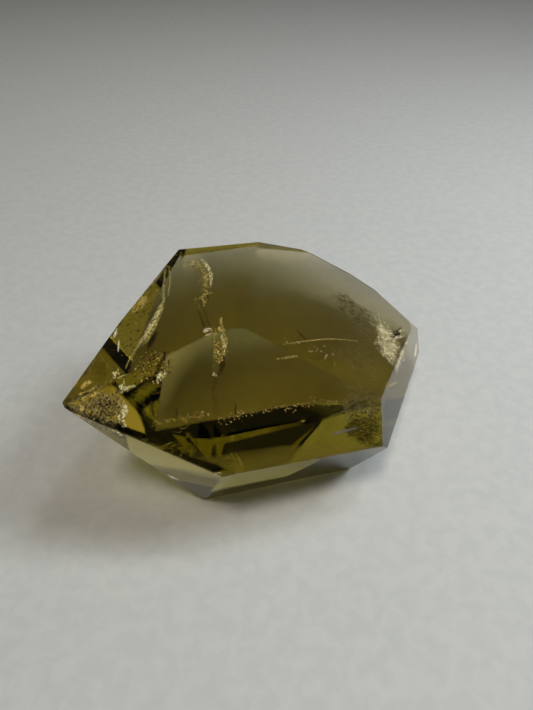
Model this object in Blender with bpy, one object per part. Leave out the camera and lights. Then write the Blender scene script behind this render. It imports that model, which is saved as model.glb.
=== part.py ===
"""Citrine point: one polished quartz crystal, built as a solid bounded by flat facets.

The crystal lies on its broad lower facet with its tip to the left (-X). Each facet is a plane: the
way it faces, as an azimuth and an elevation, and how far it lies from a centre point inside the
crystal. A block is cut by these planes one after another, as a lapidary grinds a stone. Then the
chipped corners are cut and all the edges are softened. Units are metres, +Z is up, and the origin
is the middle of the footprint's bounding box, on the surface that the crystal rests on.
"""

import math
from typing import NamedTuple

import bmesh
import bpy
from mathutils import Vector

MM = 0.001

NODE_NAME = "citrine_point"
BLOCK_SIZE = 120 * MM  # rough block that the facets are cut from
EDGE_SOFTENING = 0.22 * MM  # width of the narrow flat that polishing leaves on each edge
EDGE_SEGMENTS = 2
MERGE_DISTANCE = 0.02 * MM
FLOOR_TOLERANCE = 0.001 * MM

BASE_COLOUR = (0.34, 0.30, 0.085, 1.0)
ROUGHNESS = 0.04
METALLIC = 0.0


class Facet(NamedTuple):
    """A flat face: where it faces, in degrees, and its distance from the centre, in millimetres.

    The azimuth is measured from +Y towards +X, and the elevation upwards from level.
    """

    name: str
    azimuth: float
    elevation: float
    distance: float


class Chip(NamedTuple):
    """A corner broken off where three facets meet, and how deep the break goes, in millimetres."""

    facets: tuple[str, str, str]
    depth: float


FACETS = (
    Facet("base", 0, -90, 0),
    # The crown: the faces seen from above.
    Facet("upper left", -96.6, 76.4, 37.73),
    Facet("top", 17, 87, 34.7),
    Facet("upper right", 89, 62, 27.8),
    Facet("front left", 167, 45, 31.1),
    Facet("front right", 159, 44.5, 29.3),
    Facet("right end", 109, 20.5, 27.5),
    Facet("back crown", -12, 34.5, 37.2),
    Facet("right back crown", 66, 45, 35.2),
    # The sides that lean in under the widest line of the crystal.
    Facet("left side", -68.2, 1, 26.85),
    Facet("tip side", -71.9, -3, 25.5),
    Facet("back rim", -15.6, -14, 17.2),
    Facet("left front underside", -161, -16.5, 23),
    Facet("right front underside", 166, -25, 14.3),
    Facet("left underside", -125, -30, 21),
    Facet("right underside", 118, -26, 16.8),
    Facet("back left underside", -15.2, -34.5, 4.87),
    Facet("back right underside", -5.7, -40.6, 4.3),
)

CHIPS = (
    Chip(("front left", "front right", "left front underside"), 0.5),
    Chip(("upper left", "tip side", "left front underside"), 0.35),
    Chip(("upper right", "right end", "right back crown"), 0.3),
)


def facing(azimuth: float, elevation: float) -> Vector:
    """Return the unit vector with this azimuth and elevation, in degrees."""
    turn, rise = math.radians(azimuth), math.radians(elevation)
    level = math.cos(rise)
    return Vector((level * math.sin(turn), level * math.cos(turn), math.sin(rise)))


def cut(mesh: bmesh.types.BMesh, point: Vector, normal: Vector) -> None:
    """Cut away what lies outside the plane, and close the cut with one flat face."""
    geometry = mesh.verts[:] + mesh.edges[:] + mesh.faces[:]
    result = bmesh.ops.bisect_plane(
        mesh,
        geom=geometry,
        dist=MERGE_DISTANCE,
        plane_co=point,
        plane_no=normal,
        clear_outer=True,
    )
    rim = [item for item in result["geom_cut"] if isinstance(item, bmesh.types.BMEdge)]
    if len(rim) > 2:
        bmesh.ops.contextual_create(mesh, geom=rim)


def corner(facets: dict[str, Facet], names: tuple[str, str, str]) -> Vector:
    """Return the point where three facet planes meet."""
    first, second, third = (facets[name] for name in names)
    a, b, c = (facing(facet.azimuth, facet.elevation) for facet in (first, second, third))
    weighted = (
        b.cross(c) * first.distance + c.cross(a) * second.distance + a.cross(b) * third.distance
    )
    return weighted * MM / a.dot(b.cross(c))


def cut_chip(mesh: bmesh.types.BMesh, facets: dict[str, Facet], chip: Chip) -> None:
    """Break off one corner, square to the mean of its three facets."""
    normals = [facing(facets[name].azimuth, facets[name].elevation) for name in chip.facets]
    outward = sum(normals, Vector()).normalized()
    cut(mesh, corner(facets, chip.facets) - outward * chip.depth * MM, outward)


def crystal_mesh() -> bpy.types.Mesh:
    """Return the mesh of the whole crystal, cut, chipped, softened and centred."""
    facets = {facet.name: facet for facet in FACETS}
    solid = bmesh.new()
    bmesh.ops.create_cube(solid, size=BLOCK_SIZE)
    for facet in FACETS:
        normal = facing(facet.azimuth, facet.elevation)
        cut(solid, normal * facet.distance * MM, normal)
    for chip in CHIPS:
        cut_chip(solid, facets, chip)
    bmesh.ops.remove_doubles(solid, verts=solid.verts[:], dist=MERGE_DISTANCE)
    bmesh.ops.dissolve_degenerate(solid, edges=solid.edges[:], dist=MERGE_DISTANCE)
    bmesh.ops.bevel(
        solid,
        geom=solid.edges[:],
        offset=EDGE_SOFTENING,
        offset_type="WIDTH",
        segments=EDGE_SEGMENTS,
        affect="EDGES",
        clamp_overlap=True,
    )
    bmesh.ops.recalc_face_normals(solid, faces=solid.faces[:])
    centre_on_footprint(solid)
    mesh = bpy.data.meshes.new(NODE_NAME)
    solid.to_mesh(mesh)
    solid.free()
    return mesh


def centre_on_footprint(mesh: bmesh.types.BMesh) -> None:
    """Move the mesh so that its bounding box is centred in X and Y and stands on z = 0."""
    places = [vert.co.copy() for vert in mesh.verts]
    low = Vector([min(place[axis] for place in places) for axis in range(3)])
    high = Vector([max(place[axis] for place in places) for axis in range(3)])
    bmesh.ops.translate(
        mesh,
        verts=mesh.verts[:],
        vec=-Vector(((low.x + high.x) / 2, (low.y + high.y) / 2, low.z)),
    )
    for vert in mesh.verts:
        if vert.co.z < FLOOR_TOLERANCE:
            vert.co.z = 0.0


def citrine_material() -> bpy.types.Material:
    """Return the crystal's plain material: a smooth, smoky olive-yellow surface."""
    material = bpy.data.materials.new("citrine")
    material.use_nodes = True
    shader = material.node_tree.nodes["Principled BSDF"]
    shader.inputs["Base Color"].default_value = BASE_COLOUR
    shader.inputs["Roughness"].default_value = ROUGHNESS
    shader.inputs["Metallic"].default_value = METALLIC
    material.diffuse_color = BASE_COLOUR
    return material


def main() -> None:
    """Build the crystal as the scene's only object."""
    for item in list(bpy.data.objects):
        bpy.data.objects.remove(item, do_unlink=True)
    mesh = crystal_mesh()
    mesh.materials.append(citrine_material())
    crystal = bpy.data.objects.new(NODE_NAME, mesh)
    bpy.context.scene.collection.objects.link(crystal)


if __name__ == "__main__":
    main()
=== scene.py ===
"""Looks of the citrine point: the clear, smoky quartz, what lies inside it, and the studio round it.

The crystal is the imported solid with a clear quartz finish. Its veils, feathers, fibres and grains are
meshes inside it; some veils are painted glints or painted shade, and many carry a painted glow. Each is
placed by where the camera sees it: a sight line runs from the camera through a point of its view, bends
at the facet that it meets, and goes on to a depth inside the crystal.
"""

import logging
import math
from dataclasses import dataclass
from enum import Enum
from functools import cache
from typing import ClassVar, NamedTuple

import bmesh
import bpy
import numpy as np
from mathutils import Matrix, Vector, noise
from mathutils.bvhtree import BVHTree


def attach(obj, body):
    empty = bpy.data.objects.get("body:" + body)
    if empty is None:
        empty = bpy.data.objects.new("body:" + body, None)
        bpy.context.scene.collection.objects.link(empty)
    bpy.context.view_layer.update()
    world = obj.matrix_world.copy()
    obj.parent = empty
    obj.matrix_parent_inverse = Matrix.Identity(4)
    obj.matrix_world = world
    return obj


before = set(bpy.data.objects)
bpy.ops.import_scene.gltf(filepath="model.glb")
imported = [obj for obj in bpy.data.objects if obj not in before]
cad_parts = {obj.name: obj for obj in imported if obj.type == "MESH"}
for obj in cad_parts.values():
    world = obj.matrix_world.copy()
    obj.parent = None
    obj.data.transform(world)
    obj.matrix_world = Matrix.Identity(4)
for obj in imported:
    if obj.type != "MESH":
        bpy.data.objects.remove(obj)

LOG = logging.getLogger("citrine")
MM = 0.001
NODE = "citrine_point"
BODY = "root"
QUARTZ_IOR = 1.545
FADE = "fade"  # the attribute that thins out a veil at its edges

VIEW_WIDTH = 533  # pixels, of the grid on which the knots are placed
VIEW_HEIGHT = 710
CAMERA_PLACE = Vector((-1.89, -79.32, 92.0)) * MM
CAMERA_PITCH = 42.0  # degrees below level
SENSOR = 36.0
LENS = 27.05

Colour = tuple[float, float, float, float]
Triple = tuple[float, float, float]
Pair = tuple[float, float]


class Knot(NamedTuple):
    """A point of a veil's spine, as the camera sees it.

    It lies this many pixels across and down the view, the veil reaches half its width in pixels to
    each side, and the depth inside the crystal is in millimetres.
    """

    across: float
    down: float
    half: float
    depth: float


def spine(*knots: tuple[float, ...]) -> tuple[Knot, ...]:
    """Return a veil's spine from the numbers of its knots."""
    return tuple(Knot(*numbers) for numbers in knots)


class Value:
    """A socket that builds Math nodes when it is used in an expression."""

    def __init__(self, nodes: "Nodes", socket: bpy.types.NodeSocket) -> None:
        """Keep the tree's nodes and the output socket that carries the value."""
        self.nodes = nodes
        self.socket = socket

    def _math(self, operation: str, *values: "Value | float") -> "Value":
        """Return the result of one Math node on these values."""
        return self.nodes.add("ShaderNodeMath", {"operation": operation}, dict(enumerate(values)))

    def __add__(self, other: "Value | float") -> "Value":
        """Return self + other."""
        return self._math("ADD", self, other)

    __radd__ = __add__

    def __mul__(self, other: "Value | float") -> "Value":
        """Return self * other."""
        return self._math("MULTIPLY", self, other)

    __rmul__ = __mul__

    def __sub__(self, other: "Value | float") -> "Value":
        """Return self - other."""
        return self._math("SUBTRACT", self, other)

    def __rsub__(self, other: "Value | float") -> "Value":
        """Return other - self."""
        return self._math("SUBTRACT", other, self)

    def ramp(self, low: float, high: float) -> "Value":
        """Return 0 below low and 1 above high, with a smooth rise between them."""
        settings = {"interpolation_type": "SMOOTHSTEP", "clamp": True}
        sockets = {"Value": self, "From Min": low, "From Max": high}
        return self.nodes.add("ShaderNodeMapRange", settings, sockets)


class Nodes:
    """The nodes of one tree."""

    def __init__(self, tree: bpy.types.NodeTree) -> None:
        """Keep the tree that the nodes go into."""
        self.tree = tree

    def node(self, kind: str, settings: dict, inputs: dict) -> bpy.types.Node:
        """Add a node.

        Args:
            kind: the node's type.
            settings: its properties, set before its sockets.
            inputs: values or links, by socket name or number.

        Returns:
            The new node.
        """
        node = self.tree.nodes.new(kind)
        for name, value in settings.items():
            setattr(node, name, value)
        for name, value in inputs.items():
            self.feed(node.inputs[name], value)
        return node

    def add(self, kind: str, settings: dict, inputs: dict, out: int | str = 0) -> Value:
        """Add a node, and return the value of one of its outputs."""
        return Value(self, self.node(kind, settings, inputs).outputs[out])

    def feed(self, socket: bpy.types.NodeSocket, value: object) -> None:
        """Link a value to a socket, or set the socket's own value.

        Args:
            socket: the input socket.
            value: a value or an output to link, or what the socket itself is set to.
        """
        if isinstance(value, Value):
            value = value.socket
        if isinstance(value, bpy.types.NodeSocket):
            self.tree.links.new(value, socket)
        else:
            socket.default_value = value


class Graph(Nodes):
    """The nodes of one material."""

    def __init__(self, name: str) -> None:
        """Start a material with its Principled shader.

        Args:
            name: the material's name.
        """
        self.material = bpy.data.materials.new(name)
        self.material.use_nodes = True
        super().__init__(self.material.node_tree)
        self.shader = self.tree.nodes["Principled BSDF"]
        self.output = self.tree.nodes["Material Output"]

    def place(self, scale: Triple = (1, 1, 1), turn: Triple = (0, 0, 0)) -> Value:
        """Return the object coordinates in millimetres, for a pattern to follow.

        Args:
            scale: how many times closer the pattern is along each axis.
            turn: how far it is turned round each axis, in degrees.

        Returns:
            The coordinates.
        """
        sockets = {
            "Vector": self.add("ShaderNodeTexCoord", {}, {}, "Object"),
            "Rotation": tuple(math.radians(angle) for angle in turn),
            "Scale": tuple(factor / MM for factor in scale),
        }
        return self.add("ShaderNodeMapping", {}, sockets)

    def noise(self, where: Value, scale: float, detail: float, warp: float = 0.0) -> Value:
        """Return fractal noise between 0 and 1 at a place."""
        sockets = {"Vector": where, "Scale": scale, "Detail": detail, "Distortion": warp}
        return self.add("ShaderNodeTexNoise", {}, sockets)

    def blend(self, share: Value, first: Colour, second: Colour) -> Value:
        """Return a colour between two, by a share."""
        return self.add("ShaderNodeMix", {"data_type": "RGBA"}, {0: share, 6: first, 7: second}, 2)

    def bump(self, height: Value, strength: float, distance: float) -> Value:
        """Return a normal that follows a height, whose full range is distance in millimetres."""
        sockets = {"Height": height, "Strength": strength, "Distance": distance * MM}
        return self.add("ShaderNodeBump", {}, sockets)

    def dress(self, **inputs: Value | float | tuple) -> bpy.types.Material:
        """Feed the Principled shader.

        Args:
            inputs: values or links by socket name, with _ for a space.

        Returns:
            The finished material.
        """
        for name, value in inputs.items():
            self.feed(self.shader.inputs[name.replace("_", " ")], value)
        return self.material


@dataclass(frozen=True)
class QuartzFinish:
    """Polished clear quartz: how it bends, dims and tints light, and how its polish is worn.

    The heights are shares of the relief, which is in millimetres. Scratches and pits each begin at one
    level of their noise and are full at another.
    """

    body_tint: Colour = (0.84, 0.75, 0.60, 1.0)
    absorption_colour: Colour = (0.77, 0.745, 0.24, 1.0)
    absorption_density: float = 60.0
    worn_facet: Triple = (0.8856, -0.3050, 0.3502)  # the way that the worn facet faces
    worn_distance: float = 28.41  # millimetres from the origin to its plane
    worn_skin: Pair = (0.05, 0.30)  # millimetres under that plane, over which the wear runs out
    scratch_stretch: Triple = (0.6, 0.6, 4.0)
    scratch_turn: Triple = (20, 0, 30)
    scratch_noise: Pair = (0.56, 0.72)
    pit_noise: Pair = (0.66, 0.80)
    relief: float = 0.02
    pit_height: float = 0.02
    scratch_height: float = 0.12
    pit_roughness: float = 0.05
    worn_roughness: float = 0.05
    scratch_roughness: float = 0.18

    @cache
    def material(self) -> bpy.types.Material:
        """Return the quartz material, with the right end's facet more worn than the others.

        Returns:
            The one material of this finish.
        """
        graph = Graph("clear quartz")
        pair = {0: graph.place(), 1: self.worn_facet}
        along = graph.add("ShaderNodeVectorMath", {"operation": "DOT_PRODUCT"}, pair, "Value")
        worn = 1.0 - (self.worn_distance - along).ramp(*self.worn_skin)
        grooves = graph.place(self.scratch_stretch, self.scratch_turn)
        scratches = graph.noise(grooves, scale=2.2, detail=5.0, warp=0.6)
        pits = graph.noise(graph.place(), scale=3.5, detail=4.0)
        waves = graph.noise(graph.place(), scale=0.09, detail=1.0)
        wear = scratches.ramp(*self.scratch_noise) * worn
        height = waves + pits * self.pit_height + wear * self.scratch_height
        roughness = pits.ramp(*self.pit_noise) * self.pit_roughness + worn * self.worn_roughness
        absorption = {"Color": self.absorption_colour, "Density": self.absorption_density}
        volume = graph.add("ShaderNodeVolumeAbsorption", {}, absorption)
        graph.feed(graph.output.inputs["Volume"], volume)
        return graph.dress(
            Base_Color=self.body_tint,
            Roughness=roughness + wear * self.scratch_roughness,
            IOR=QUARTZ_IOR,
            Transmission_Weight=1.0,
            Normal=graph.bump(height, strength=1.0, distance=self.relief),
        )


@dataclass(frozen=True)
class VeilFinish:
    """A sheet inside the quartz: a crack, a crinkled mirror where it is open and clear where it has
    healed, or a painted glint or painted shade; its glow is painted light.

    It begins to open at one level of its noise, and is wholly open at another. The noise is a coarse
    and a fine one together, each with its scale beside the grain.
    """

    COARSE_SCALE: ClassVar[float] = 0.4
    COARSE_SHARE: ClassVar[float] = 0.45
    FINE_SCALE: ClassVar[float] = 1.5
    FINE_SHARE: ClassVar[float] = 0.55

    name: str
    colour: Colour = (0.97, 0.96, 0.86, 1.0)
    shade: Colour = (0.10, 0.08, 0.02, 1.0)
    grain: float = 1.5
    stretch: Triple = (1.0, 1.0, 1.0)
    turn: Triple = (0.0, 0.0, 0.0)
    open_from: float = 0.40
    open_to: float = 0.56
    opacity: float = 0.9
    # painted light: the strength of an emission that makes the sheet glow though it is no lamp
    painted_glow: float = 0.0
    metallic: float = 0.65
    smoothest: float = 0.18
    blotches: float = 0.25  # how much rougher its roughest part is

    @cache
    def material(self) -> bpy.types.Material:
        """Return the veil's material, which its fade attribute thins out at the edges.

        Returns:
            The one material of this finish.
        """
        graph = Graph(self.name)
        where = graph.place(self.stretch, self.turn)
        coarse = graph.noise(where, scale=self.grain * self.COARSE_SCALE, detail=2.0, warp=0.4)
        fine = graph.noise(where, scale=self.grain * self.FINE_SCALE, detail=4.0, warp=0.8)
        level = coarse * self.COARSE_SHARE + fine * self.FINE_SHARE
        tint = graph.blend(fine.ramp(low=0.38, high=0.60), self.shade, self.colour)
        edge = graph.add("ShaderNodeAttribute", {"attribute_name": FADE}, {}, "Fac")
        return graph.dress(
            Base_Color=tint,
            Metallic=self.metallic,
            Roughness=self.smoothest + coarse * self.blotches,
            Alpha=level.ramp(self.open_from, self.open_to) * edge * self.opacity,
            Normal=graph.bump(fine, strength=0.9, distance=0.6),
            # painted light: the glow, in the sheet's own colours
            Emission_Color=tint,
            Emission_Strength=self.painted_glow,
        )


@dataclass(frozen=True)
class GrainFinish:
    """Tiny flakes, grains and needles inside the quartz, which may carry a painted glow."""

    name: str
    light: Colour = (0.95, 0.93, 0.82, 1.0)
    dark: Colour = (0.55, 0.50, 0.30, 1.0)
    metallic: float = 0.6
    roughness: float = 0.25
    # painted light: the strength of an emission that makes the items glow though they are no lamps
    painted_glow: float = 0.0
    blotches: float = 0.15  # how much rougher its roughest part is

    @cache
    def material(self) -> bpy.types.Material:
        """Return the material of the grains, in patches of two colours.

        Returns:
            The one material of this finish.
        """
        graph = Graph(self.name)
        patches = graph.noise(graph.place(), scale=0.8, detail=3.0)
        tint = graph.blend(patches.ramp(low=0.40, high=0.60), self.dark, self.light)
        return graph.dress(
            Base_Color=tint,
            Metallic=self.metallic,
            Roughness=self.roughness + patches * self.blotches,
            # painted light: the glow, in the items' own colours
            Emission_Color=tint,
            Emission_Strength=self.painted_glow,
        )


@dataclass(frozen=True)
class PaperFinish:
    """Pale, matt paper with a faint felt grain."""

    light: Colour = (0.80, 0.81, 0.79, 1.0)
    dark: Colour = (0.72, 0.74, 0.73, 1.0)
    roughness: float = 0.9
    felt_share: float = 0.6
    cloud_share: float = 0.4

    @cache
    def material(self) -> bpy.types.Material:
        """Return the paper's material.

        Returns:
            The one material of this finish.
        """
        graph = Graph("paper")
        felt = graph.noise(graph.place(), scale=0.35, detail=5.0, warp=0.5)
        clouds = graph.noise(graph.place(), scale=0.04, detail=2.0)
        share = felt.ramp(low=0.35, high=0.65) * self.felt_share + clouds * self.cloud_share
        return graph.dress(
            Base_Color=graph.blend(share, self.dark, self.light),
            Roughness=self.roughness,
            Normal=graph.bump(felt, strength=0.35, distance=0.25),
        )


@dataclass(frozen=True)
class Sight:
    """Finds points inside the crystal by where the camera sees them."""

    MIDDLE: ClassVar[Vector] = Vector((240, 360))  # pixels, about the middle of the crystal
    SKIN: ClassVar[float] = 0.15 * MM  # how far under its facets the pieces are kept
    ENTRY: ClassVar[float] = 0.2  # millimetres past the facet, where the search for the far side starts
    CLEARANCE: ClassVar[float] = 0.3  # millimetres left free before the far side
    SMALLEST_FACET: ClassVar[float] = 3 * MM**2

    surface: BVHTree
    normals: np.ndarray
    offsets: np.ndarray

    @classmethod
    def through(cls, solid: bpy.types.Object) -> "Sight":
        """Read the facets that the sight lines pass through.

        Args:
            solid: the convex crystal.

        Returns:
            The sight lines into it.
        """
        mesh = bmesh.new()
        mesh.from_mesh(solid.data)
        surface = BVHTree.FromBMesh(mesh)
        facets = [face for face in mesh.faces if face.calc_area() > cls.SMALLEST_FACET]
        normals = np.array([face.normal[:] for face in facets])
        offsets = np.array([face.normal.dot(face.verts[0].co) for face in facets])
        mesh.free()
        return cls(surface, normals, offsets)

    def keep_inside(self, mesh: bpy.types.Mesh) -> None:
        """Move the points that lie outside the crystal to just under its surface.

        Args:
            mesh: the mesh to change.
        """
        places = np.empty(len(mesh.vertices) * 3)
        mesh.vertices.foreach_get("co", places)
        places = places.reshape(-1, 3)
        for normal, offset in zip(self.normals, self.offsets):
            beyond = np.maximum(places @ normal - offset + self.SKIN, 0.0)
            places -= beyond[:, None] * normal
        mesh.vertices.foreach_set("co", places.ravel())
        mesh.update()

    @staticmethod
    def towards(across: float, down: float) -> Vector:
        """Return the direction in which the camera sees a point of its view.

        Args:
            across: pixels from the view's left side.
            down: pixels from the view's top.

        Returns:
            The direction, of length 1.
        """
        focal = LENS / SENSOR * VIEW_HEIGHT
        ray = Vector((across - VIEW_WIDTH / 2, VIEW_HEIGHT / 2 - down, -focal))
        return (Matrix.Rotation(math.radians(90 - CAMERA_PITCH), 3, "X") @ ray).normalized()

    def point(self, across: float, down: float, depth: float) -> Vector:
        """Return the point that the camera sees through the facet in front of it.

        A point of the view beside the crystal is first moved in to its outline.

        Args:
            across: pixels from the view's left side.
            down: pixels from the view's top.
            depth: millimetres inside the crystal, along the bent sight line.

        Returns:
            The point, in metres.
        """
        spot, place = Vector((across, down)), None
        while place is None:
            ray = self.towards(*spot)
            place, normal, _, _ = self.surface.ray_cast(CAMERA_PLACE, ray)
            spot += (self.MIDDLE - spot).normalized()
        straight = -ray.dot(normal)
        bent = math.sqrt(1 - (1 - straight * straight) / QUARTZ_IOR**2)
        inward = ray / QUARTZ_IOR + normal * (straight / QUARTZ_IOR - bent)
        far = self.surface.ray_cast(place + inward * MM * self.ENTRY, inward)[3]
        limit = far / MM - self.CLEARANCE if far else depth
        return place + inward * min(depth, limit) * MM


def inner_piece(name: str, mesh: bpy.types.Mesh, material: bpy.types.Material) -> bpy.types.Object:
    """Add a piece that lies inside the crystal and moves with it.

    Args:
        name: the piece's name.
        mesh: its mesh, in place.
        material: the finish that it gets if its mesh has none.

    Returns:
        The new piece.
    """
    if not mesh.materials:
        mesh.materials.append(material)
    piece = bpy.data.objects.new(name, mesh)
    bpy.context.scene.collection.objects.link(piece)
    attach(piece, BODY)
    LOG.info("%s: %d faces", name, len(mesh.polygons))
    return piece


def smooth(knots: list[Vector], count: int) -> list[Vector]:
    """Draw a smooth curve through some points.

    Args:
        knots: the points, two or more.
        count: how many points the curve gets.

    Returns:
        The curve's points, from the first knot to the last.
    """
    ends = [knots[0] * 2 - knots[1], *knots, knots[-1] * 2 - knots[-2]]
    points = []
    for step in range(count):
        along = step / (count - 1) * (len(knots) - 1)
        index = min(int(along), len(knots) - 2)
        t = along - index
        a, b, c, d = ends[index : index + 4]
        squared, cubed = a * 2 - b * 5 + c * 4 - d, b * 3 - a - c * 3 + d
        points.append((b * 2 + (c - a) * t + squared * t**2 + cubed * t**3) / 2)
    return points


@dataclass(frozen=True)
class Veil:
    """A crinkled sheet inside the crystal, spread along a spine that the camera sees.

    The side on the right of the spine lies deeper by the slope. The crinkle, the slope and the wave,
    which is how far apart the crinkles lie, are in millimetres.
    """

    RIPPLES: ClassVar[float] = 1.7  # small ripples in each millimetre
    RIPPLE_SHARE: ClassVar[float] = 0.5  # their height beside the crinkle's
    END_FADE: ClassVar[float] = 0.35  # powers of the sine by which the sheet thins out
    SIDE_FADE: ClassVar[float] = 0.5

    name: str
    spine: tuple[Knot, ...]
    finish: VeilFinish
    crinkle: float = 0.25
    wave: float = 1.6
    slope: float = 1.0
    rows: int = 70
    columns: int = 12

    def edges(self) -> tuple[list[Triple], list[Triple]]:
        """Find the sheet's two long edges.

        Returns:
            For each edge, its points as pixels across, pixels down and depth in millimetres.
        """
        first, second = [], []
        for index, (across, down, half, depth) in enumerate(self.spine):
            before = self.spine[max(index - 1, 0)]
            after = self.spine[min(index + 1, len(self.spine) - 1)]
            side = Vector((before.down - after.down, after.across - before.across)).normalized() * half
            first.append((across - side.x, down - side.y, depth))
            second.append((across + side.x, down + side.y, depth + self.slope))
        return first, second

    def grid(self, sight: Sight) -> list[Vector]:
        """Spread the sheet between its edges, and crinkle it.

        Args:
            sight: the sight lines that place it.

        Returns:
            The sheet's points, row by row, each row from edge to edge.
        """
        edges = [smooth([sight.point(*spot) for spot in edge], self.rows) for edge in self.edges()]
        places = []
        for start, end in zip(*edges):
            for step in range(self.columns):
                place = start.lerp(end, step / (self.columns - 1))
                where = place / MM
                ripple = noise.noise_vector(where * self.RIPPLES) * self.RIPPLE_SHARE
                push = noise.noise_vector(where / self.wave) + ripple
                places.append(place + push * self.crinkle * MM)
        return places

    def mesh(self, sight: Sight) -> bpy.types.Mesh:
        """Make the sheet's mesh, with a fade attribute that falls to 0 at its edges.

        Args:
            sight: the sight lines that place it.

        Returns:
            The mesh.
        """
        mesh = bpy.data.meshes.new(self.name)
        width = self.columns
        starts = [row * width + step for row in range(self.rows - 1) for step in range(width - 1)]
        faces = [(start, start + 1, start + width + 1, start + width) for start in starts]
        mesh.from_pydata(self.grid(sight), [], faces)
        mesh.shade_smooth()
        fade = mesh.attributes.new(FADE, "FLOAT", "POINT")
        for row in range(self.rows):
            along = math.sin(math.pi * (row + 0.5) / self.rows) ** self.END_FADE
            for step in range(width):
                across = math.sin(math.pi * (step + 0.5) / width) ** self.SIDE_FADE
                fade.data[row * width + step].value = along * across
        return mesh

    def build(self, sight: Sight) -> bpy.types.Object:
        """Make the sheet and dress it.

        Args:
            sight: the sight lines that place it.

        Returns:
            The finished piece.
        """
        mesh = self.mesh(sight)
        sight.keep_inside(mesh)
        return inner_piece(self.name, mesh, self.finish.material())


class Cone(NamedTuple):
    """A scattered cone before it is scaled: its two radii and its length, in millimetres."""

    top: float
    bottom: float
    length: float


class Shape(Enum):
    """The forms that are scattered inside the crystal."""

    FLAKE = Cone(0.35, 0.5, 0.06)
    NEEDLE = Cone(0.012, 0.045, 1.0)
    GRAIN = "grain"


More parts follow.
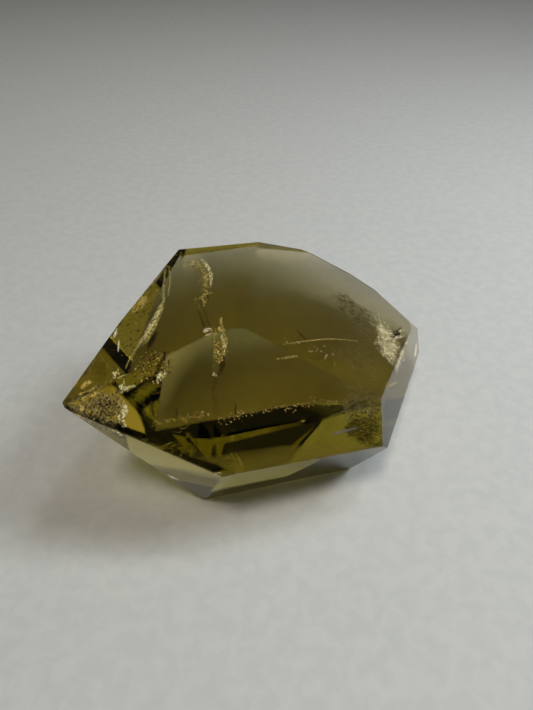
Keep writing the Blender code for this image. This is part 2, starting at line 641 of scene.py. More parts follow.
@dataclass(frozen=True)
class Scatter:
    """Many small flakes, grains or needles, spread by Geometry Nodes over a hidden guide sheet.

    The density is in items for each square millimetre of the sheet, and the spread is how far, in
    millimetres, an item may lie off it. An item is scaled between the smallest and the largest. Its
    axis follows the lean, and the tangle turns it away at random.
    """

    CONE_SIDES: ClassVar[int] = 6
    GRAIN_RADIUS: ClassVar[float] = 0.5
    INPUTS: ClassVar[dict[str, str]] = {
        "Density": "Float",
        "Smallest": "Float",
        "Largest": "Float",
        "Spread": "Float",
        "Tangle": "Float",
        "Lean": "Vector",
        "Seed": "Int",
    }

    name: str
    guide: Veil
    finish: GrainFinish
    shape: Shape
    density: float
    smallest: float
    largest: float
    spread: float
    seed: int
    lean: Triple = (0.0, 0.0, 1.0)
    tangle: float = 1.0

    def item(self, nodes: Nodes) -> Value:
        """Add the node that makes one item, about 1 mm across or long.

        Args:
            nodes: the nodes that it joins.

        Returns:
            The item's mesh.
        """
        if self.shape is Shape.GRAIN:
            sizes = {"Radius": self.GRAIN_RADIUS * MM, "Subdivisions": 1}
            return nodes.add("GeometryNodeMeshIcoSphere", {}, sizes, "Mesh")
        cone = self.shape.value
        sizes = {
            "Vertices": self.CONE_SIDES,
            "Radius Top": cone.top * MM,
            "Radius Bottom": cone.bottom * MM,
            "Depth": cone.length * MM,
        }
        return nodes.add("GeometryNodeMeshCone", {}, sizes, "Mesh")

    @staticmethod
    def random_vector(nodes: Nodes, seed: object, reach: object) -> Value:
        """Add the nodes of a random vector.

        Args:
            nodes: the nodes that they join.
            seed: the seed, or a link to it.
            reach: how far each of its parts may lie from 0, or a link to it.

        Returns:
            The vector.
        """
        limits = {"Min": (-1, -1, -1), "Max": (1, 1, 1), "Seed": seed}
        unit = nodes.add("FunctionNodeRandomValue", {"data_type": "FLOAT_VECTOR"}, limits)
        return nodes.add("ShaderNodeVectorMath", {"operation": "SCALE"}, {0: unit, "Scale": reach})

    def tree(self, material: bpy.types.Material) -> bpy.types.NodeTree:
        """Make the node tree that scatters the items, with named inputs for its sizes.

        Args:
            material: the finish of the items.

        Returns:
            The tree.
        """
        tree = bpy.data.node_groups.new(self.name, "GeometryNodeTree")
        for side in ("INPUT", "OUTPUT"):
            tree.interface.new_socket("Geometry", in_out=side, socket_type="NodeSocketGeometry")
        for label, kind in self.INPUTS.items():
            tree.interface.new_socket(label, in_out="INPUT", socket_type="NodeSocket" + kind)
        nodes = Nodes(tree)
        given = nodes.node("NodeGroupInput", {}, {}).outputs
        points = nodes.add(
            "GeometryNodeDistributePointsOnFaces",
            {"distribute_method": "RANDOM"},
            {"Mesh": given["Geometry"], "Density": given["Density"], "Seed": given["Seed"]},
        )
        offset = self.random_vector(nodes, given["Seed"], given["Spread"])
        moved = nodes.add("GeometryNodeSetPosition", {}, {"Geometry": points, "Offset": offset})
        jitter = self.random_vector(nodes, self.seed + 1, given["Tangle"])
        axis = nodes.add("ShaderNodeVectorMath", {"operation": "ADD"}, {0: given["Lean"], 1: jitter})
        turn = nodes.add("FunctionNodeAlignRotationToVector", {"axis": "Z"}, {"Vector": axis})
        limits = {2: given["Smallest"], 3: given["Largest"], "Seed": self.seed + 2}
        size = nodes.add("FunctionNodeRandomValue", {"data_type": "FLOAT"}, limits, 1)
        items = nodes.add(
            "GeometryNodeInstanceOnPoints",
            {},
            {"Points": moved, "Instance": self.item(nodes), "Rotation": turn, "Scale": size},
        )
        real = nodes.add("GeometryNodeRealizeInstances", {}, {"Geometry": items})
        dressed = nodes.add("GeometryNodeSetMaterial", {}, {"Geometry": real, "Material": material})
        nodes.node("NodeGroupOutput", {}, {"Geometry": dressed})
        return tree

    def build(self, sight: Sight) -> bpy.types.Object:
        """Scatter the items and turn them into a plain mesh.

        Args:
            sight: the sight lines that place the guide sheet.

        Returns:
            The finished piece.
        """
        material = self.finish.material()
        guide = bpy.data.objects.new(self.name + "_guide", self.guide.mesh(sight))
        bpy.context.scene.collection.objects.link(guide)
        modifier = guide.modifiers.new("scatter", "NODES")
        modifier.node_group = self.tree(material)
        sizes = {
            "Density": self.density / MM**2,
            "Smallest": self.smallest,
            "Largest": self.largest,
            "Spread": self.spread * MM,
            "Tangle": self.tangle,
            "Lean": self.lean,
            "Seed": self.seed,
        }
        for socket in modifier.node_group.interface.items_tree:
            if socket.in_out == "INPUT" and socket.name in sizes:
                modifier[socket.identifier] = sizes[socket.name]
        bpy.context.view_layer.update()
        evaluated = guide.evaluated_get(bpy.context.evaluated_depsgraph_get())
        mesh = bpy.data.meshes.new_from_object(evaluated)
        mesh.name = self.name
        sight.keep_inside(mesh)
        bpy.data.objects.remove(guide, do_unlink=True)
        return inner_piece(self.name, mesh, material)


# Finishes of the sheets. A finish's glow is painted light.
GOLD_CRACK = VeilFinish(
    "gold crack", colour=(0.98, 0.88, 0.42, 1), shade=(0.16, 0.11, 0.02, 1), open_from=0.42,
    open_to=0.54, painted_glow=0.25,
)
PALE_CRACK = VeilFinish(
    "pale crack", colour=(1.0, 0.97, 0.70, 1), shade=(0.20, 0.16, 0.04, 1), open_from=0.41,
    open_to=0.49, painted_glow=0.65,
)
FINE_LINE = VeilFinish(
    "fine line", colour=(1.0, 0.92, 0.55, 1), shade=(0.40, 0.32, 0.10, 1), open_from=0.25, open_to=0.50,
    painted_glow=0.25,
)
# Dark cracks and needles, and painted shade: dark sheets that also stand for the shaded side of bright
# cracks.
DARK_CRACK_AND_SHADE = VeilFinish(
    "dark crack and painted shade", colour=(0.05, 0.03, 0.01, 1), shade=(0.01, 0.007, 0.002, 1), open_from=0.30,
    open_to=0.48,
)
CRUMBLED = VeilFinish(
    "crumbled zone", colour=(0.85, 0.70, 0.24, 1), shade=(0.04, 0.03, 0.006, 1), grain=1.8,
    open_from=0.46, open_to=0.57, opacity=0.60, painted_glow=0.08,
)
DIM_CRUMBLE = VeilFinish(
    "dim crumbled zone", colour=(0.62, 0.54, 0.30, 1), shade=(0.05, 0.04, 0.012, 1), grain=1.5,
    open_from=0.47, open_to=0.60, opacity=0.55, painted_glow=0.04,
)
TIP_CRUMBLE = VeilFinish(
    "crumbled tip", colour=(0.74, 0.67, 0.43, 1), shade=(0.20, 0.165, 0.085, 1), grain=1.7,
    open_from=0.34, open_to=0.52, opacity=0.85, painted_glow=0.16, metallic=0.3,
)
FAINT_LINE = VeilFinish(
    "faint line", colour=(0.80, 0.66, 0.36, 1), shade=(0.30, 0.22, 0.08, 1), open_from=0.25,
    open_to=0.50, opacity=0.55, painted_glow=0.08,
)
WHITE_CRACK = VeilFinish(
    "white crack", colour=(0.94, 0.94, 0.86, 1), shade=(0.24, 0.23, 0.17, 1), grain=2.4,
    stretch=(1.0, 1.0, 0.4), open_from=0.44, open_to=0.54, opacity=0.9, painted_glow=0.40,
)
# A crack's gold flash: a bright gold mirror with a painted glow, also used for a painted glint on a
# facet.
GOLD_FLASH = VeilFinish(
    "gold flash", colour=(1.0, 0.80, 0.28, 1), shade=(0.30, 0.17, 0.03, 1), grain=2.2, open_from=0.38,
    open_to=0.50, painted_glow=0.45,
)
RUST = VeilFinish(
    "rust film", colour=(0.30, 0.14, 0.035, 1), shade=(0.10, 0.05, 0.015, 1), grain=0.8, open_from=0.30,
    open_to=0.60, opacity=0.45, metallic=0.0,
)
WISP = VeilFinish(
    "wispy veil", colour=(0.85, 0.84, 0.72, 1), shade=(0.40, 0.38, 0.24, 1), grain=2.4,
    stretch=(0.3, 1.0, 1.0), turn=(0, 0, 35), open_from=0.50, open_to=0.68, opacity=0.55, painted_glow=0.08,
)
# Painted highlight: pure white glints with a painted glow, for bright glints on the facets and on a
# chip.
PAINTED_WHITE_GLINT = VeilFinish(
    "painted white glint", colour=(1.0, 1.0, 0.97, 1), shade=(0.60, 0.60, 0.54, 1), grain=2.0, open_from=0.38,
    open_to=0.48, opacity=1.0, painted_glow=0.5,
)
# Painted reflection: a bluish glint on a facet, with a painted glow.
PAINTED_BLUE_GLINT = VeilFinish(
    "painted blue glint", colour=(0.40, 0.46, 0.72, 1), shade=(0.16, 0.19, 0.35, 1), grain=2.6, open_from=0.36,
    open_to=0.48, opacity=0.9, painted_glow=0.2,
)

VEILS = (
    Veil(
        "left_veil_top",
        spine((165, 268, 1.2, 9), (164, 285, 1.3, 9), (163, 303, 1.5, 9)),
        FINE_LINE, crinkle=0.08,
    ),
    Veil(
        "left_veil_line",
        spine((169, 266, 0.7, 9), (170, 280, 0.9, 9), (168, 297, 0.7, 9)),
        FINE_LINE, crinkle=0.05,
    ),
    Veil(
        "left_veil",
        spine(
            (165, 296, 1.2, 10), (160, 309, 2.6, 10), (153, 322, 3.0, 10), (145, 336, 2.0, 10),
            (137, 348, 1.2, 10),
        ),
        PALE_CRACK, crinkle=0.2,
    ),
    Veil(
        "left_veil_fringe",
        spine((164, 303, 1.8, 11), (159, 317, 2.8, 11), (151, 332, 2.8, 11), (142, 347, 1.4, 11)),
        GOLD_CRACK, crinkle=0.35,
    ),
    Veil(
        "left_veil_tail",
        spine((139, 344, 1.1, 10), (131, 357, 0.9, 10), (125, 369, 0.9, 10)),
        FINE_LINE, crinkle=0.06,
    ),
    Veil(
        "left_veil_end",
        spine((122, 377, 1.6, 8), (121, 385, 2.2, 8), (121, 394, 1.6, 8)),
        PALE_CRACK, crinkle=0.12,
    ),
    Veil(
        "left_veil_foot",
        spine((122, 391, 2.2, 6), (128, 388, 1.8, 6), (136, 385, 0.9, 6)),
        PALE_CRACK, crinkle=0.1,
    ),
    # Painted shade: a dark sheet behind the left veil, its shaded side.
    Veil(
        "left_veil_painted_shade",
        spine((157, 331, 2.0, 11.5), (152, 341, 2.6, 11.5), (145, 353, 1.6, 11.5)),
        DARK_CRACK_AND_SHADE, crinkle=0.1,
    ),
    Veil(
        "left_crumble",
        spine(
            (158, 278, 5, 7), (150, 296, 9, 7), (140, 316, 11, 7), (132, 336, 9, 7), (125, 356, 6, 7),
        ),
        DIM_CRUMBLE, crinkle=0.5, slope=3,
    ),
    # A rust patch drawn with the gold flash finish, a bright gold mirror with a painted glow.
    Veil(
        "left_rust_flash",
        spine((148, 297, 3, 6), (141, 303, 5, 6), (132, 312, 3, 6)),
        GOLD_FLASH, crinkle=0.4,
    ),
    Veil(
        "feather_arc",
        spine((201, 259, 1.5, 6), (207, 266, 2.2, 6), (211, 276, 2.0, 6), (211, 287, 1.2, 6)),
        PALE_CRACK, crinkle=0.12,
    ),
    Veil(
        "feather_inner_arc",
        spine((196, 260, 1.5, 6.5), (203, 270, 2.2, 6.5), (206, 282, 2.4, 6.5), (204, 294, 2.0, 6.5)),
        GOLD_CRACK, crinkle=0.3,
    ),
    Veil(
        "feather_cap",
        spine((186, 265, 2.0, 6), (191, 263, 3.2, 6), (198, 265, 2.2, 6)),
        GOLD_CRACK, crinkle=0.25,
    ),
    Veil(
        "feather_body",
        spine((195, 264, 5, 7.5), (202, 273, 7, 7.5), (205, 286, 6.5, 7.5), (203, 299, 4, 7.5)),
        CRUMBLED, crinkle=0.4, slope=2,
    ),
    Veil(
        "feather_hook",
        spine((198, 298, 1.0, 6), (202, 297, 2.0, 6), (205, 302, 2.2, 6), (203, 307, 1.2, 6)),
        GOLD_CRACK, crinkle=0.2,
    ),
    # Painted shade: the feather's shaded side.
    Veil(
        "feather_painted_shade",
        spine((208, 290, 1.5, 6.6), (206, 298, 2.4, 6.6), (203, 304, 1.8, 6.6)),
        DARK_CRACK_AND_SHADE, crinkle=0.2,
    ),
    Veil(
        "feather_tail",
        spine((203, 309, 0.5, 7), (206.5, 318, 0.6, 7), (210, 328, 0.6, 7)),
        DARK_CRACK_AND_SHADE, crinkle=0.03,
    ),
    Veil(
        "centre_feather",
        spine(
            (219, 332, 7.5, 5), (219.5, 343, 7.5, 5), (218, 356, 6.0, 5), (216, 368, 4.5, 5),
            (215, 378, 3.0, 5),
        ),
        CRUMBLED, crinkle=0.4,
    ),
    Veil(
        "centre_flash",
        spine((225, 331, 2.0, 4.6), (225, 343, 2.4, 4.6), (223, 355, 1.3, 4.6)),
        GOLD_CRACK, crinkle=0.12,
    ),
    Veil(
        "centre_glint",
        spine((221, 334, 1.2, 4.4), (224, 345, 1.4, 4.4), (224, 352, 0.8, 4.4)),
        PALE_CRACK, crinkle=0.08,
    ),
    # Painted shade: the centre feather's shaded side.
    Veil(
        "centre_painted_shade",
        spine((222, 355, 2.0, 5), (222, 365, 2.8, 5), (219, 376, 1.4, 5)),
        DARK_CRACK_AND_SHADE, crinkle=0.15,
    ),
    Veil(
        "centre_spots",
        spine((212, 375, 1.4, 4), (214, 374, 2.2, 4), (217, 376, 1.0, 4)),
        PALE_CRACK, crinkle=0.12,
    ),
    Veil(
        "centre_strip",
        spine((214.5, 376, 3.4, 4), (215, 395, 3.2, 4), (215.5, 414, 3.0, 4)),
        RUST, crinkle=0.08,
    ),
    Veil(
        "orange_glint",
        spine((221.5, 317, 1.2, 4), (221, 321, 1.5, 4), (221, 325, 1.1, 4)),
        GOLD_FLASH, crinkle=0.05,
    ),
    # Painted highlight: a white glint at the ridge.
    Veil(
        "edge_glint",
        spine((203, 331.5, 1.2, 1), (207, 330, 1.5, 1), (211, 328.5, 1.0, 1)),
        PAINTED_WHITE_GLINT, crinkle=0.08,
    ),
    Veil(
        "front_crumble",
        spine((137, 378, 5, 7), (149, 373, 8, 7), (160, 368, 9, 7), (170, 361, 7, 7)),
        CRUMBLED, crinkle=0.6, slope=3,
    ),
    Veil(
        "front_spot",
        spine((157, 384, 1.6, 5), (160, 377, 3.4, 5), (166, 373, 2.4, 5)),
        PALE_CRACK, crinkle=0.3,
    ),
    Veil(
        "front_arc",
        spine((168, 353, 0.9, 4.5), (169.5, 360, 1.3, 4.5), (168, 369, 1.0, 4.5)),
        DARK_CRACK_AND_SHADE, crinkle=0.06,
    ),
    Veil(
        "tip_flash",
        spine((79, 396, 2.0, 2.2), (86, 395, 3.5, 2.2), (93, 392, 4.5, 2.2), (97, 393, 1.5, 2.2)),
        GOLD_FLASH, crinkle=0.3,
    ),
    Veil(
        "tip_flash_back",
        spine((80, 388, 1.5, 3), (87, 384, 3.0, 3), (93, 381, 2.0, 3)),
        GOLD_FLASH, crinkle=0.3,
    ),
    Veil(
        "tip_crumble",
        spine(
            (66, 404.5, 2.5, 2.5), (82, 405, 9, 3), (98, 406, 14, 4), (112, 409, 17, 5),
            (123, 415, 14, 5),
        ),
        TIP_CRUMBLE, crinkle=0.4,
    ),
    Veil(
        "tip_sparkle",
        spine((79, 406, 1.5, 2), (82, 409, 2.6, 2), (81, 412, 1.2, 2)),
        GOLD_FLASH, crinkle=0.2,
    ),
    Veil(
        "tip_dome",
        spine(
            (90, 382, 0.8, 5), (90, 370, 1.0, 5), (96, 358, 1.1, 5), (105, 362, 1.0, 5),
            (111, 372, 0.8, 5),
        ),
        FAINT_LINE, crinkle=0.1,
    ),
    Veil("tip_dome_film", spine((99, 382, 5, 6), (99, 372, 8, 6), (99, 362, 5, 6)), RUST, crinkle=0.3),
    Veil(
        "tip_line",
        spine((117, 382, 0.8, 5), (115, 400, 0.9, 5), (113, 420, 0.8, 5)),
        FAINT_LINE, crinkle=0.05,
    ),
    Veil(
        "tip_line_back",
        spine((112, 388, 0.6, 6), (110, 406, 0.8, 6), (109, 424, 0.6, 6)),
        FAINT_LINE, crinkle=0.05,
    ),
    Veil(
        "sparkle_cluster",
        spine((121, 402, 1.8, 3.5), (124, 410, 3.4, 3.5), (121, 420, 4.0, 3.5), (125, 428, 1.8, 3.5)),
        PALE_CRACK, crinkle=0.5,
    ),
    # Painted shade: the sparkle cluster's shaded side.
    Veil(
        "sparkle_painted_shade",
        spine((124, 416, 3.0, 4), (120, 424, 4.0, 4), (130, 431, 2.5, 4)),
        DARK_CRACK_AND_SHADE, crinkle=0.2,
    ),
    # Painted highlight: a white glint at the left shoulder.
    Veil(
        "shoulder_glint",
        spine((116.5, 328, 1.0, 1), (115.5, 333, 1.5, 1), (113.5, 338, 0.9, 1)),
        PAINTED_WHITE_GLINT, crinkle=0.03,
    ),
    # Painted highlight: a white streak of glint at the left shoulder.
    Veil(
        "shoulder_glint_streak",
        spine((119, 340, 0.6, 2), (118.5, 346, 0.9, 2), (118, 352, 0.6, 2)),
        PAINTED_WHITE_GLINT, crinkle=0.03,
    ),
    Veil(
        "right_triangle",
        spine((389, 338, 2.5, 4), (397, 335, 5.0, 4), (405, 331, 6.0, 4)),
        DARK_CRACK_AND_SHADE, crinkle=0.15,
    ),
    # Painted reflection: white arcs over the dark triangle.
    Veil(
        "right_triangle_glint_arc",
        spine((393, 339, 0.6, 3.2), (398, 337, 1.6, 3.2), (404, 336, 0.9, 3.2)),
        PAINTED_WHITE_GLINT, crinkle=0.15,
    ),
    Veil(
        "right_triangle_top",
        spine((395, 333, 0.5, 3.2), (400, 331, 1.3, 3.2), (405, 330, 0.6, 3.2)),
        PALE_CRACK, crinkle=0.1,
    ),
    Veil(
        "right_veil",
        spine(
            (330, 292, 5, 6), (348, 308, 9, 7), (364, 326, 11, 8), (380, 346, 11, 8), (386, 360, 7, 8),
        ),
        WISP, crinkle=0.6, slope=3,
    ),
    Veil(
        "right_veil_haze",
        spine((340, 335, 8, 8), (352, 350, 11, 8), (364, 363, 11, 8), (374, 375, 8, 8)),
        WISP, crinkle=0.8, slope=4,
    ),
    Veil(
        "right_crack",
        spine(
            (377, 316, 0.8, 4), (381, 328, 2.0, 4), (387, 343, 3.6, 4), (392, 355, 3.6, 4),
            (394, 366, 1.4, 4),
        ),
        WHITE_CRACK, crinkle=0.8,
    ),
    Veil(
        "right_crack_back",
        spine((374, 330, 2.0, 5.5), (382, 342, 5.0, 5.5), (388, 356, 5.5, 5.5)),
        WISP, crinkle=0.8,
    ),
    Veil(
        "growth_line",
        spine((282, 344.5, 0.5, 9), (302, 341.5, 0.7, 9), (330, 339, 0.7, 9), (360, 341, 0.5, 9)),
        FINE_LINE, crinkle=0.02,
    ),
    Veil(
        "dark_needle",
        spine((297, 330, 0.6, 6), (301, 335, 0.7, 6), (305, 340, 0.6, 6)),
        DARK_CRACK_AND_SHADE, crinkle=0.05,
    ),
    Veil(
        "left_bubble",
        spine((151, 400, 1.0, 4), (152.5, 409, 1.8, 4), (154, 418, 1.0, 4)),
        DARK_CRACK_AND_SHADE, crinkle=0.03,
    ),
    Veil(
        "left_needle",
        spine((177, 408, 0.8, 4), (177, 413, 1.0, 4), (176.5, 418, 0.7, 4)),
        DARK_CRACK_AND_SHADE, crinkle=0.03,
    ),
    Veil(
        "middle_needle",
        spine((236, 404, 0.9, 4), (235.5, 410, 1.3, 4), (236, 415, 0.9, 4)),
        DARK_CRACK_AND_SHADE, crinkle=0.05,
    ),
    # Painted reflection: the bluish glint on the facet over the dark band, just under the surface.
    Veil(
        "band_glint",
        spine((332, 434.5, 1.0, 0.6), (345, 431, 1.6, 0.6), (358, 427.5, 1.0, 0.6)),
        PAINTED_BLUE_GLINT, crinkle=0.05,
    ),
    Veil(
        "band_edge_left",
        spine((150, 424, 1.0, 3), (180, 420, 1.3, 3), (209, 415, 1.0, 3)),
        CRUMBLED, crinkle=0.1,
    ),
    Veil(
        "band_edge_right",
        spine((216, 419, 1.8, 3), (245, 414, 2.2, 3), (285, 406, 2.0, 3), (350, 400, 1.6, 3)),
        CRUMBLED, crinkle=0.2,
    ),
    # Painted highlight: a yellow glint on the right end's facet, drawn as a sheet just under it.
    Veil(
        "end_glint_dash",
        spine((387, 387, 0.9, 1), (392, 384.5, 1.3, 1), (398, 382, 0.8, 1)),
        GOLD_FLASH, crinkle=0.03,
    ),
    # Painted highlight: a white streak on the right end's facet.
    Veil(
        "end_glint_streak",
        spine((416, 343, 0.8, 1), (416, 350, 1.2, 1), (414.5, 358, 0.7, 1)),
        PAINTED_WHITE_GLINT, crinkle=0.03,
    ),
    # A real chip at the corner, drawn as a painted white glint.
    Veil(
        "chipped_notch_glint",
        spine((215, 473, 0.8, 0.5), (218, 474.5, 1.1, 0.5), (222, 473.5, 0.7, 0.5)),
        PAINTED_WHITE_GLINT, crinkle=0.05,
    ),
    # Painted highlight: a white streak on the underside facet.
    Veil(
        "under_glint_streak",
        spine((168, 475, 0.5, 1), (173, 477.5, 0.8, 1), (179, 480, 0.5, 1)),
        PAINTED_WHITE_GLINT, crinkle=0.03,
    ),
)

# Finishes of the scattered items. A finish's glow is painted light.
PALE_GRAINS = GrainFinish("pale grains", painted_glow=0.15)
FIBRES = GrainFinish("pale fibres", light=(0.94, 0.93, 0.82, 1), dark=(0.42, 0.38, 0.22, 1), painted_glow=0.35)
GOLD_FLAKES = GrainFinish(
    "gold flakes", light=(1.0, 0.82, 0.34, 1), dark=(0.45, 0.28, 0.06, 1), metallic=0.8, roughness=0.2,
    painted_glow=0.3,
)
DULL_FIBRES = GrainFinish(
    "dull fibres", light=(0.66, 0.62, 0.46, 1), dark=(0.24, 0.20, 0.10, 1), painted_glow=0.06,
)
DULL_FLAKES = GrainFinish(
    "dull flakes", light=(0.92, 0.82, 0.52, 1), dark=(0.40, 0.31, 0.14, 1), metallic=0.8, roughness=0.2,
    painted_glow=0.2,
)
BROWN_GRAINS = GrainFinish(
    "brown grains", light=(0.30, 0.20, 0.06, 1), dark=(0.05, 0.03, 0.01, 1), metallic=0.2,
    roughness=0.4,
)


def cloud(*knots: tuple[float, ...]) -> Veil:
    """Return a guide sheet for scattered grains, along these knots."""
    return Veil("guide", spine(*knots), GOLD_CRACK, crinkle=0.6)


SCATTERS = (
    Scatter(
        "right_specks",
        cloud((335, 352, 8, 5), (350, 358, 13, 6), (365, 368, 13, 6), (378, 378, 9, 6)),
        PALE_GRAINS, Shape.GRAIN, density=3.2, smallest=0.08, largest=0.22, spread=1.2, seed=3,
    ),
    Scatter(
        "upper_specks",
        cloud((300, 292, 8, 6), (325, 288, 12, 6), (350, 305, 14, 6), (372, 330, 12, 6)),
        PALE_GRAINS, Shape.GRAIN, density=1.8, smallest=0.06, largest=0.17, spread=1.3, seed=5,
    ),
    Scatter(
        "right_fibres",
        cloud((379, 322, 3, 4), (384, 336, 7, 4), (390, 350, 8, 4), (393, 362, 4, 4)),
        FIBRES, Shape.NEEDLE, density=8.0, smallest=0.9, largest=2.9, spread=0.7, seed=7,
        lean=(0.3, 0.2, -0.3),
    ),
    Scatter(
        "corner_fibres",
        cloud((344, 411, 6, 3), (357, 404, 10, 3.5), (370, 402, 11, 3.5), (380, 408, 9, 3)),
        DULL_FIBRES, Shape.NEEDLE, density=12.0, smallest=0.4, largest=1.6, spread=0.9, seed=9,
        lean=(0.1, 0.1, 0.3),
    ),
    Scatter(
        "corner_dark",
        cloud((350, 410, 6, 4), (366, 406, 9, 4), (378, 410, 7, 4)),
        BROWN_GRAINS, Shape.GRAIN, density=4.0, smallest=0.15, largest=0.5, spread=0.8, seed=11,
    ),
    Scatter(
        "veil_fibres",
        cloud((338, 296, 4, 6), (352, 310, 7, 6), (366, 325, 7, 6)),
        DULL_FIBRES, Shape.NEEDLE, density=8.0, smallest=0.6, largest=2.4, spread=1.0, seed=13,
        lean=(0.8, -0.4, 0.0), tangle=0.5,
    ),
    Scatter(
        "tip_flakes",
        cloud((74, 403, 4, 2), (86, 403, 8, 2.5), (100, 407, 12, 3), (116, 414, 12, 4)),
        DULL_FLAKES, Shape.FLAKE, density=5.0, smallest=0.08, largest=0.28, spread=0.8, seed=15,
    ),
    Scatter(
        "tip_grains",
        cloud((74, 403, 4, 3), (88, 404, 9, 3), (104, 408, 13, 4), (118, 416, 12, 4)),
        BROWN_GRAINS, Shape.GRAIN, density=9.0, smallest=0.1, largest=0.45, spread=0.8, seed=17,
    ),
    Scatter(
        "left_flakes",
        cloud((156, 284, 6, 7), (144, 306, 9, 7), (134, 328, 9, 7), (126, 350, 7, 7)),
        DULL_FLAKES, Shape.FLAKE, density=0.7, smallest=0.1, largest=0.30, spread=1.0, seed=19,
    ),
    Scatter(
        "left_grains",
        cloud((156, 284, 6, 7), (144, 306, 9, 7), (133, 330, 10, 7), (124, 354, 7, 7)),
        BROWN_GRAINS, Shape.GRAIN, density=0.8, smallest=0.1, largest=0.45, spread=1.0, seed=21,
    ),
    Scatter(
        "front_flakes",
        cloud((138, 378, 6, 6), (152, 372, 8, 6), (166, 366, 8, 6)),
        GOLD_FLAKES, Shape.FLAKE, density=5.0, smallest=0.1, largest=0.34, spread=0.8, seed=23,
    ),
    Scatter(
        "front_grains",
        cloud((138, 378, 6, 6.5), (152, 373, 8, 6.5), (166, 367, 8, 6.5)),
        BROWN_GRAINS, Shape.GRAIN, density=4.0, smallest=0.1, largest=0.5, spread=0.8, seed=25,
    ),
    Scatter(
        "centre_flakes",
        cloud((219, 334, 6, 4.5), (219, 348, 6, 4.5), (216, 366, 4, 4.5)),
        GOLD_FLAKES, Shape.FLAKE, density=9.0, smallest=0.1, largest=0.32, spread=0.4, seed=27,
    ),
    Scatter(
        "feather_flakes",
        cloud((195, 263, 4, 6), (204, 274, 6, 6), (206, 290, 5, 6), (203, 304, 3, 6)),
        GOLD_FLAKES, Shape.FLAKE, density=6.0, smallest=0.08, largest=0.3, spread=0.4, seed=29,
    ),
    Scatter(
        "band_flakes",
        cloud((150, 424, 1.2, 2.5), (209, 415, 1.4, 2.5)),
        GOLD_FLAKES, Shape.FLAKE, density=8.0, smallest=0.08, largest=0.3, spread=0.4, seed=31,
    ),
    Scatter(
        "band_right_flakes",
        cloud((216, 420, 2.0, 2.5), (285, 407, 2.0, 2.5), (350, 401, 2.0, 2.5)),
        GOLD_FLAKES, Shape.FLAKE, density=5.0, smallest=0.08, largest=0.3, spread=0.6, seed=33,
    ),
    Scatter(
        "loose_glints",
        cloud((276, 338, 2, 2), (300, 345, 4, 2), (325, 352, 5, 2), (338, 368, 4, 2)),
        PALE_GRAINS, Shape.FLAKE, density=0.5, smallest=0.2, largest=0.5, spread=0.5, seed=35,
    ),
)


@dataclass(frozen=True)
class StudioLight:
    """A soft square light that faces the stone.

    The azimuth is measured from +Y towards +X and the elevation upwards from level, both in degrees.
    The distance and the size are in metres, and the power is in watts.
    """

    name: str
    azimuth: float
    elevation: float
    distance: float
    size: float
    power: float
    colour: Triple

    def place(self) -> None:
        """Add the light to the scene."""
        data = bpy.data.lights.new(self.name, "AREA")
        data.shape = "SQUARE"
        data.size = self.size
        data.energy = self.power
        data.color = self.colour
        lamp = bpy.data.objects.new(self.name, data)
        turn, rise = math.radians(self.azimuth), math.radians(self.elevation)
        level = math.cos(rise)
        towards = Vector((level * math.sin(turn), level * math.cos(turn), math.sin(rise)))
        lamp.location = towards * self.distance
        lamp.rotation_euler = towards.to_track_quat("Z", "Y").to_euler()
        bpy.context.scene.collection.objects.link(lamp)


LIGHTS = (
    StudioLight("overhead", 198, 71, 1.0, 0.18, 2.9, (1.0, 0.90, 0.76)),
    StudioLight("right", 86, 50, 0.40, 0.12, 0.54, (0.94, 1.0, 1.04)),
    StudioLight("back right", 60, 65, 1.0, 0.18, 1.1, (0.92, 1.0, 1.06)),
    StudioLight("tip card", 54, 26, 1.0, 0.20, 0.11, (1.0, 0.88, 1.0)),
    StudioLight("side card", 116, 12, 1.0, 0.25, 0.07, (1.0, 0.95, 0.75)),
)


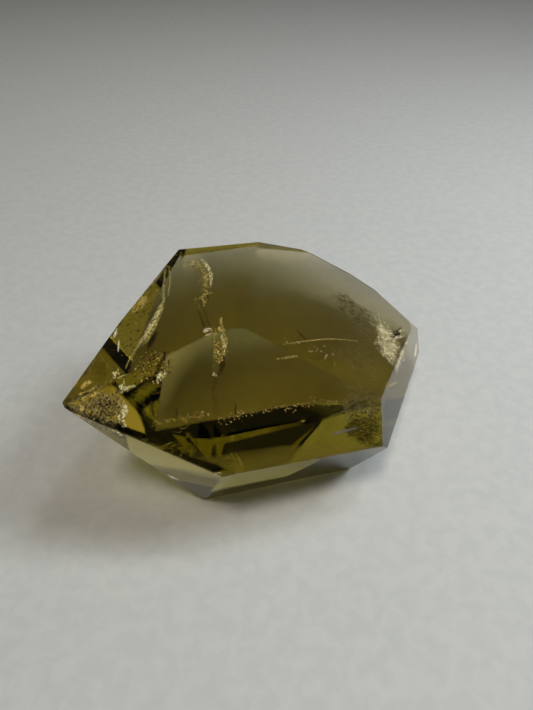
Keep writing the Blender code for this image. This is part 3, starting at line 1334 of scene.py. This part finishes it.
@dataclass(frozen=True)
class Studio:
    """The paper, the lights, the camera and the dim room round the stone."""

    paper_size: float = 1.6
    paper_drop: float = 0.05 * MM  # the gap under the stone
    room_colour: Colour = (0.9, 0.95, 1.0, 1.0)
    room_strength: float = 0.02
    light_bounces: int = 24

    def add_paper(self) -> None:
        """Add the pale paper that the stone lies on."""
        mesh = bpy.data.meshes.new("paper")
        half = self.paper_size / 2
        corners = ((-half, -half), (half, -half), (half, half), (-half, half))
        mesh.from_pydata([(x, y, -self.paper_drop) for x, y in corners], [], [(0, 1, 2, 3)])
        mesh.materials.append(PaperFinish().material())
        paper = bpy.data.objects.new("paper", mesh)
        bpy.context.scene.collection.objects.link(paper)

    def add_camera(self) -> None:
        """Add the camera, which looks along +Y and down at the stone."""
        data = bpy.data.cameras.new("camera")
        data.sensor_width = SENSOR
        data.lens = LENS
        data.clip_start = MM
        camera = bpy.data.objects.new("camera", data)
        camera.location = CAMERA_PLACE
        camera.rotation_euler = (math.radians(90 - CAMERA_PITCH), 0, 0)
        bpy.context.scene.collection.objects.link(camera)
        bpy.context.scene.camera = camera

    def set_room(self) -> None:
        """Give the room a dim, even light, and let light pass through many facets."""
        world = bpy.data.worlds.new("room")
        world.use_nodes = True
        background = world.node_tree.nodes["Background"]
        background.inputs["Color"].default_value = self.room_colour
        background.inputs["Strength"].default_value = self.room_strength
        scene = bpy.context.scene
        scene.world = world
        scene.view_settings.view_transform = "Standard"
        scene.cycles.max_bounces = self.light_bounces
        scene.cycles.transmission_bounces = self.light_bounces
        scene.cycles.transparent_max_bounces = self.light_bounces
        scene.cycles.caustics_refractive = True
        scene.cycles.caustics_reflective = True

    def build(self) -> None:
        """Set up the whole studio."""
        self.add_paper()
        self.add_camera()
        self.set_room()
        for light in LIGHTS:
            light.place()


@dataclass(frozen=True)
class Crystal:
    """The polished crystal, with what lies inside it."""

    finish: QuartzFinish
    veils: tuple[Veil, ...]
    scatters: tuple[Scatter, ...]
    crinkle_seed: int = 5  # without a seed, the crinkles would follow the clock

    def build(self) -> None:
        """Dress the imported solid, and make what lies inside it."""
        noise.seed_set(self.crinkle_seed)
        material = self.finish.material()
        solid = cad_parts[NODE]
        for slot in solid.material_slots:
            slot.material = material
        LOG.info("%s: %d faces", NODE, len(solid.data.polygons))
        sight = Sight.through(solid)
        for piece in (*self.veils, *self.scatters):
            piece.build(sight)


def main() -> None:
    """Dress the crystal and set the scene."""
    logging.basicConfig(level=logging.INFO, format="%(name)s: %(message)s")
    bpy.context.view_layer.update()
    Crystal(QuartzFinish(), VEILS, SCATTERS).build()
    Studio().build()


if __name__ == "__main__":
    main()
